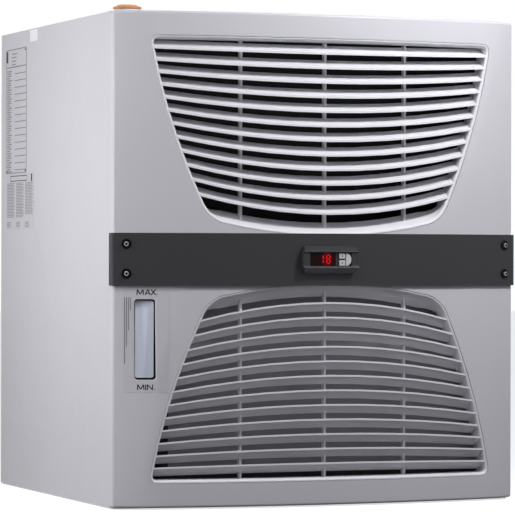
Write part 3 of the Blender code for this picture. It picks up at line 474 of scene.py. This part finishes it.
def drape(shape, seat, u_places, v_places, base, top, hole=None):
    """Closed plate over a grid of places, with the cells of a rectangular hole left out."""
    placed = {}

    def corner(i, j, lift):
        if (i, j, lift) not in placed:
            placed[i, j, lift] = shape.verts.new(seat(u_places[i], v_places[j], lift))
        return placed[i, j, lift]

    def filled(i, j):
        if not (0 <= i < len(u_places) - 1 and 0 <= j < len(v_places) - 1):
            return False
        if hole is None:
            return True
        middle_u = (u_places[i] + u_places[i + 1]) / 2
        middle_v = (v_places[j] + v_places[j + 1]) / 2
        return not (inside(middle_u, hole[0]) and inside(middle_v, hole[1]))

    cells = [(i, j) for i in range(len(u_places) - 1) for j in range(len(v_places) - 1)]
    for i, j in (cell for cell in cells if filled(*cell)):
        ring = [(i, j), (i + 1, j), (i + 1, j + 1), (i, j + 1)]
        shape.faces.new([corner(*spot, top) for spot in ring])
        shape.faces.new([corner(*spot, base) for spot in reversed(ring)])
        beyond = [(i, j - 1), (i + 1, j), (i, j + 1), (i - 1, j)]
        for first, second, cell in zip(ring, ring[1:] + ring[:1], beyond):
            if not filled(*cell):
                shape.faces.new([corner(*first, top), corner(*first, base), corner(*second, base),
                                 corner(*second, top)])


def bars(shape, seat, boxes, base, top, pitch=UNDIVIDED):
    """Several draped rectangles, each given as (u0, u1, v0, v1)."""
    for u0, u1, v0, v1 in boxes:
        drape(shape, seat, spaced(u0, u1, pitch), spaced(v0, v1, pitch), base, top)


def rounded(span_u, span_v, radius):
    """Corner points of a rounded rectangle, in order round it."""
    (u0, u1), (v0, v1) = span_u, span_v
    corners = ((u1 - radius, v1 - radius), (u0 + radius, v1 - radius),
               (u0 + radius, v0 + radius), (u1 - radius, v0 + radius))
    points = []
    for quarter, (u, v) in enumerate(corners):
        for step in range(CORNER_STEPS + 1):
            angle = (quarter + step / CORNER_STEPS) * pi / 2
            points.append((u + radius * cos(angle), v + radius * sin(angle)))
    return points


def ring_plate(shape, seat, outer, inner, base, top):
    """Closed flat ring between two outlines that have as many points."""
    loops = [[shape.verts.new(seat(u, v, lift)) for u, v in outline]
             for outline, lift in ((outer, base), (outer, top), (inner, top), (inner, base))]
    for first, second in zip(loops, loops[1:] + loops[:1]):
        for step in range(len(first)):
            after = (step + 1) % len(first)
            shape.faces.new([first[step], first[after], second[after], second[step]])


def turn(shape, profile, stand, sides):
    """Closed body turned from a profile of (radius, height) that starts and ends on the axis."""
    angles = [2 * pi * step / sides for step in range(sides)]
    rings = []
    for radius, height in profile:
        spots = [(radius * cos(angle), radius * sin(angle), height) for angle in angles]
        if radius == 0.0:
            spots = spots[:1]
        rings.append([shape.verts.new(stand @ Vector(spot)) for spot in spots])
    for first, second in zip(rings, rings[1:]):
        for step in range(sides):
            after = (step + 1) % sides
            corners = [first[step % len(first)], first[after % len(first)],
                       second[after % len(second)], second[step % len(second)]]
            shape.faces.new(list(dict.fromkeys(corners)))


def slab(shape, seat, corners, base, top):
    """Closed thin plate between the corners of a flat outline on a surface."""
    low = [shape.verts.new(seat(u, v, base)) for u, v in corners]
    high = [shape.verts.new(seat(u, v, top)) for u, v in corners]
    shape.faces.new(low[::-1])
    shape.faces.new(high)
    for index in range(len(corners)):
        after = (index + 1) % len(corners)
        shape.faces.new((low[index], low[after], high[after], high[index]))


# Level slot

def stroke_corners(left, bottom, height, stroke):
    """Corners of one stroke of a letter, cut level at its ends or upright where it lies flat."""
    u0, v0, u1, v1 = stroke
    if v0 == v1:
        across, along = 0.0, STROKE / 2
    else:
        across, along = STROKE / 2 * hypot(u1 - u0, v1 - v0) / abs(v1 - v0), 0.0
    return [(left + u * height + side * across, bottom + v * height - side * along)
            for u, v, side in ((u0, v0, -1), (u0, v0, 1), (u1, v1, 1), (u1, v1, -1))]


def make_level_mark(name, text, height, bottom, seat, base):
    """Flat letters of straight strokes on the film."""
    shape = bmesh.new()
    left = MARK_LEFT
    for letter in text:
        advance, strokes = GLYPHS[letter]
        for stroke in strokes:
            slab(shape, seat, stroke_corners(left, bottom, height, stroke), base, base + INK_SHEET)
        left += advance * height
    finish_piece(name, shape, "ink")


def make_level_slot():
    # Black ring round the window: painted shade of the slot's reveal
    shade_ring = bmesh.new()
    ring_plate(shade_ring, front_seat("level_window"), rounded(SHADE_RING_X, SHADE_RING_Z, SHADE_RING_RADIUS),
               rounded(GLASS_X, GLASS_Z, GLASS_RADIUS), SHADE_RING_LIFT, SHADE_RING_RISE)
    finish_piece("level_shade_ring", shade_ring, "black_gloss")
    seat = front_seat("lower_hood")
    film = bmesh.new()
    drape(film, seat, film_places(FILM_X, FILM_HOLE_X), film_places(FILM_Z, FILM_HOLE_Z),
          FILM_LIFT, FILM_LIFT + FILM_SHEET, (FILM_HOLE_X, FILM_HOLE_Z))
    finish_piece("level_film", film, "film", smooth=True)
    base = FILM_LIFT + FILM_SHEET + INK_GAP
    lines = bmesh.new()
    boxes = [(x - SCALE_HALF_WIDTH, x + SCALE_HALF_WIDTH, low, SCALE_TOP) for x, low in SCALE_LINES]
    bars(lines, seat, boxes, base, base + INK_SHEET, SCALE_PITCH)
    finish_piece("level_scale_lines", lines, "grey_ink")
    make_level_mark("level_mark_max", "MAX.", MAX_HEIGHT, MAX_BOTTOM, seat, base)
    make_level_mark("level_mark_min", "MIN.", MIN_HEIGHT, MIN_BOTTOM, seat, base)


make_level_slot()


# Labels on the left side: ruled and barred, without lettering

def label_sheet(name, span_y, span_z, look):
    """Blank label on the left side panel."""
    shape = bmesh.new()
    bars(shape, side_seat, [(*span_y, *span_z)], LABEL_LIFT, LABEL_LIFT + LABEL_SHEET)
    finish_piece(name, shape, look)


def printed_bars(name, boxes, look):
    """Bars of ink on the labels of the left side panel."""
    shape = bmesh.new()
    base = LABEL_LIFT + LABEL_SHEET + INK_GAP
    bars(shape, side_seat, boxes, base, base + INK_SHEET)
    finish_piece(name, shape, look)


def border_bars(span_y, span_z):
    """Four bars round a rectangle; the upright ones stop short of the level ones."""
    (y0, y1), (z0, z1) = span_y, span_z
    low, high = z0 + BORDER + BORDER_GAP, z1 - BORDER - BORDER_GAP
    return [(y0, y1, z0, z0 + BORDER), (y0, y1, z1 - BORDER, z1),
            (y0, y0 + BORDER, low, high), (y1 - BORDER, y1, low, high)]


def table_rules():
    """Border of the rating table, the rule under its header and the short rules of its rows."""
    (y0, y1), header = TABLE_Y, TABLE_Z[1] - TABLE_HEADER
    rules = border_bars(TABLE_Y, TABLE_Z)
    rules.append((y0 + TABLE_MARGIN, y1 - TABLE_MARGIN, header, header + HEADER_RULE))
    for row in range(1, TABLE_ROWS + 1):
        level = header - row * TABLE_PITCH
        rules.append((y0 + TABLE_MARGIN, y0 + ROW_RULE_END, level, level + ROW_RULE))
    return rules


def table_entries():
    """Bars in place of the rating table's words: its rows, and then its heading."""
    (y0, y1), z1 = TABLE_Y, TABLE_Z[1]
    entries = []
    for line in range(TABLE_ROWS * ENTRIES_PER_ROW):
        level = z1 - TABLE_HEADER - ENTRY_INSET - line * TABLE_PITCH / ENTRIES_PER_ROW
        start = y1 - ENTRY_INSET - ENTRY_INDENTS[line % len(ENTRY_INDENTS)]
        length = ENTRY_LENGTHS[line % len(ENTRY_LENGTHS)]
        entries.append((start - length, start, level - ENTRY_HEIGHT, level))
    for line in range(HEADING_LINES):
        level = z1 - HEADING_INSET - line * HEADING_PITCH
        end = y0 + HEADING_END + line * HEADING_STEP
        entries.append((end, y0 + HEADING_START, level - HEADING_HEIGHT, level))
    return entries


def table_corner_marks():
    """Tall block in one corner of the rating table, and a small bar in each of the other three."""
    y_low, y_high = TABLE_Y[0] + CORNER_INSET, TABLE_Y[1] - CORNER_INSET
    z_low, z_high = TABLE_Z[0] + CORNER_INSET, TABLE_Z[1] - CORNER_INSET
    width, height = CORNER_BAR
    return [(y_high - CORNER_BLOCK[0], y_high, z_high - CORNER_BLOCK[1], z_high),
            (y_low, y_low + width, z_high - height, z_high),
            (y_low, y_low + width, z_low, z_low + height),
            (y_high - width, y_high, z_low, z_low + height)]


def note_lines():
    """Bars in place of the note's words: columns with ragged ends, and short lines at their foot."""
    lines = []
    for column, (start, count) in enumerate(NOTE_COLUMNS):
        for line in range(count):
            level = NOTE_Z[1] - NOTE_INSET - line * NOTE_PITCH
            width = NOTE_COLUMN_WIDTH - NOTE_SHORTFALLS[(line + column) % len(NOTE_SHORTFALLS)]
            lines.append((start - width, start, level - NOTE_LINE_HEIGHT, level))
        for line in range(NOTE_FOOT_LINES):
            level = NOTE_Z[0] + NOTE_FOOT_RISE - line * NOTE_PITCH
            width = NOTE_FOOT_WIDTHS[line % len(NOTE_FOOT_WIDTHS)]
            lines.append((start - width, start, level - NOTE_LINE_HEIGHT, level))
    return lines


def make_side_labels():
    label_sheet("rating_table", TABLE_Y, TABLE_Z, "label")
    printed_bars("rating_table_rules", table_rules(), "grey_ink")
    printed_bars("rating_table_entries", table_entries(), "text_ink")
    printed_bars("rating_table_corner_marks", table_corner_marks(), "ink")
    label_sheet("note_label", NOTE_Y, NOTE_Z, "label")
    printed_bars("note_label_lines", note_lines(), "text_ink")
    printed_bars("note_label_box", [*border_bars(NOTE_BOX_Y, NOTE_BOX_Z), NOTE_FLAG], "ink")
    label_sheet("blank_sticker", STICKER_Y, STICKER_Z, "sticker")


make_side_labels()


# Band fasteners: a cup washer with a socket screw in it, and a black hex in the socket as painted shade

def make_fasteners():
    parts = (("band_washer", WASHER_PROFILE, WASHER_SIDES, "black_gloss", True),
             ("band_screw", SCREW_PROFILE, SCREW_SIDES, "steel", True),
             ("band_screw_socket_shade", SOCKET_SHADE_PROFILE, SOCKET_SHADE_SIDES, "black_gloss", False))
    seat = front_seat("control_band")
    middle = sum(point[2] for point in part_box("control_band")) / 2 + FASTENER_LIFT
    spots = [(side * FASTENER_X, middle + rise * FASTENER_RISE) for side in (-1, 1) for rise in (1, -1)]
    for number, (x, z) in enumerate(spots, start=1):
        for name, profile, sides, look, smooth in parts:
            shape = bmesh.new()
            turn(shape, profile, stand_on(seat, x, z), sides)
            finish_piece(f"{name}_{number}", shape, look, smooth)


make_fasteners()


# Controller: digits and key symbols

def make_digits():
    """The number 18 in bars, a 1 of two and an 8 of seven."""
    half, (low, high) = SEGMENT / 2, DIGIT_Z
    middle = (low + high) / 2
    left, right = EIGHT_X
    uprights = [(x, a, b) for x in (ONE_X, left, right) for a, b in ((low, middle), (middle, high))]
    marks = [(x - half, x + half, a + SEGMENT_GAP, b - SEGMENT_GAP) for x, a, b in uprights]
    marks += [(left + SEGMENT_GAP, right - SEGMENT_GAP, z - half, z + half) for z in (low, middle, high)]
    shape = bmesh.new()
    bars(shape, plane_seat(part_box("controller_display")[0][1], -1), marks, SIGN_LIFT, SIGN_TOP)
    finish_piece("display_digits", shape, "digits")


def make_key_symbols():
    """An arrow up on the one key and down on the other."""
    shape = bmesh.new()
    for name, way in (("controller_up_key", 1), ("controller_down_key", -1)):
        low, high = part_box(name)
        x, z = (low[0] + high[0]) / 2, (low[2] + high[2]) / 2
        foot = z - way * ARROW_FOOT
        arrow = [(x - ARROW_HALF_WIDTH, foot), (x + ARROW_HALF_WIDTH, foot), (x, z + way * ARROW_TIP)]
        slab(shape, plane_seat(low[1], -1), arrow, SIGN_LIFT, SIGN_TOP)
    finish_piece("key_symbols", shape, "ink")


make_digits()
make_key_symbols()


# Filler cap: grip ribs round its skirt

def make_cap_ribs():
    low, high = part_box("filler_cap")
    centre = Vector(((low[0] + high[0]) / 2, (low[1] + high[1]) / 2, low[2] + CAP_RIB_LIFT))
    radius = (high[0] - low[0]) / 2 + CAP_RIB_OFFSET
    shape = bmesh.new()
    for step in range(CAP_RIBS):
        angle = 2 * pi * step / CAP_RIBS
        spot = centre + Vector((cos(angle), sin(angle), 0.0)) * radius
        turn(shape, CAP_RIB_PROFILE, Matrix.Translation(spot), CAP_RIB_SIDES)
    finish_piece("cap_grip", shape, "orange", smooth=True)


make_cap_ribs()


# Rear: screws at the corners and mid-sides of the rear panel

def make_rear_screws():
    low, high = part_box("rear_panel")
    x_places, z_places = [(low[axis] + REAR_SCREW_INSET, (low[axis] + high[axis]) / 2,
                           high[axis] - REAR_SCREW_INSET) for axis in (0, 2)]
    middle = (x_places[1], z_places[1])
    shape = bmesh.new()
    for x, z in ((x, z) for x in x_places for z in z_places if (x, z) != middle):
        turn(shape, PAN_HEAD_PROFILE, stand_on(plane_seat(high[1], 1), x, z), PAN_HEAD_SIDES)
    finish_piece("rear_panel_screws", shape, "steel", smooth=True)


make_rear_screws()


# Floor, background and light

def seen_background(nodes, links):
    """1 for camera, mirror and see-through rays, which meet the white background, and 0 for the rest."""
    path = nodes.new("ShaderNodeLightPath")
    share = path.outputs["Is Camera Ray"]
    for kind in ("Is Glossy Ray", "Is Transmission Ray"):
        either = nodes.new("ShaderNodeMath")
        either.operation = "MAXIMUM"
        links.new(share, either.inputs[0])
        links.new(path.outputs[kind], either.inputs[1])
        share = either.outputs["Value"]
    return share


def floor_material():
    """Studio floor: white with its shadow where it is seen or mirrored, and dull as a source of light."""
    made = bpy.data.materials.new("floor")
    made.use_nodes = True
    nodes, links = made.node_tree.nodes, made.node_tree.links
    dull = nodes["Principled BSDF"]
    dull.inputs["Base Color"].default_value = DULL_FLOOR
    dull.inputs["Roughness"].default_value = FLOOR_ROUGHNESS
    pale = nodes.new("ShaderNodeBsdfDiffuse")
    pale.inputs["Color"].default_value = PALE_FLOOR
    glow = nodes.new("ShaderNodeEmission")
    glow.inputs["Strength"].default_value = FLOOR_GLOW
    seen = nodes.new("ShaderNodeAddShader")
    links.new(pale.outputs["BSDF"], seen.inputs[0])
    links.new(glow.outputs["Emission"], seen.inputs[1])
    mix = nodes.new("ShaderNodeMixShader")
    links.new(seen_background(nodes, links), mix.inputs["Fac"])
    links.new(dull.outputs["BSDF"], mix.inputs[1])
    links.new(seen.outputs["Shader"], mix.inputs[2])
    links.new(mix.outputs["Shader"], nodes["Material Output"].inputs["Surface"])
    return made


def make_floor():
    shape = bmesh.new()
    bmesh.ops.create_grid(shape, x_segments=1, y_segments=1, size=FLOOR_SIZE)
    mesh = bpy.data.meshes.new("floor")
    shape.to_mesh(mesh)
    shape.free()
    floor = bpy.data.objects.new("floor", mesh)
    SCENE.collection.objects.link(floor)
    mesh.materials.append(floor_material())
    floor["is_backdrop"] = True


def make_world():
    """Sky light that grows from the horizon up, and plain white where it is seen or mirrored."""
    world = bpy.data.worlds.new("studio")
    SCENE.world = world
    world.use_nodes = True
    nodes, links = world.node_tree.nodes, world.node_tree.links
    sky = nodes["Background"]
    sky.inputs["Color"].default_value = SKY_COLOUR
    place = nodes.new("ShaderNodeTexCoord")
    split = nodes.new("ShaderNodeSeparateXYZ")
    above = nodes.new("ShaderNodeMapRange")
    above.inputs["From Max"].default_value = SKY_FULL_HEIGHT
    above.inputs["To Max"].default_value = SKY_STRENGTH
    links.new(place.outputs["Generated"], split.inputs["Vector"])
    links.new(split.outputs["Z"], above.inputs["Value"])
    links.new(above.outputs["Result"], sky.inputs["Strength"])
    white = nodes.new("ShaderNodeBackground")
    white.inputs["Color"].default_value = WHITE
    white.inputs["Strength"].default_value = 1.0
    mix = nodes.new("ShaderNodeMixShader")
    links.new(seen_background(nodes, links), mix.inputs["Fac"])
    links.new(sky.outputs["Background"], mix.inputs[1])
    links.new(white.outputs["Background"], mix.inputs[2])
    links.new(mix.outputs["Shader"], nodes["World Output"].inputs["Surface"])


def make_lamps():
    """Square lamps, each given by its place, side and power, that face the front of the cabinet."""
    for name, (place, side, power) in LAMPS.items():
        data = bpy.data.lights.new(name, "AREA")
        data.size = side
        data.energy = power
        lamp = bpy.data.objects.new(name, data)
        SCENE.collection.objects.link(lamp)
        lamp.location = place
        lamp.rotation_mode = "QUATERNION"
        lamp.rotation_quaternion = (LAMP_TARGET - lamp.location).to_track_quat("-Z", "Y")
        lamp.visible_camera = False


make_floor()
make_world()
make_lamps()

SCENE.view_settings.view_transform = "Standard"
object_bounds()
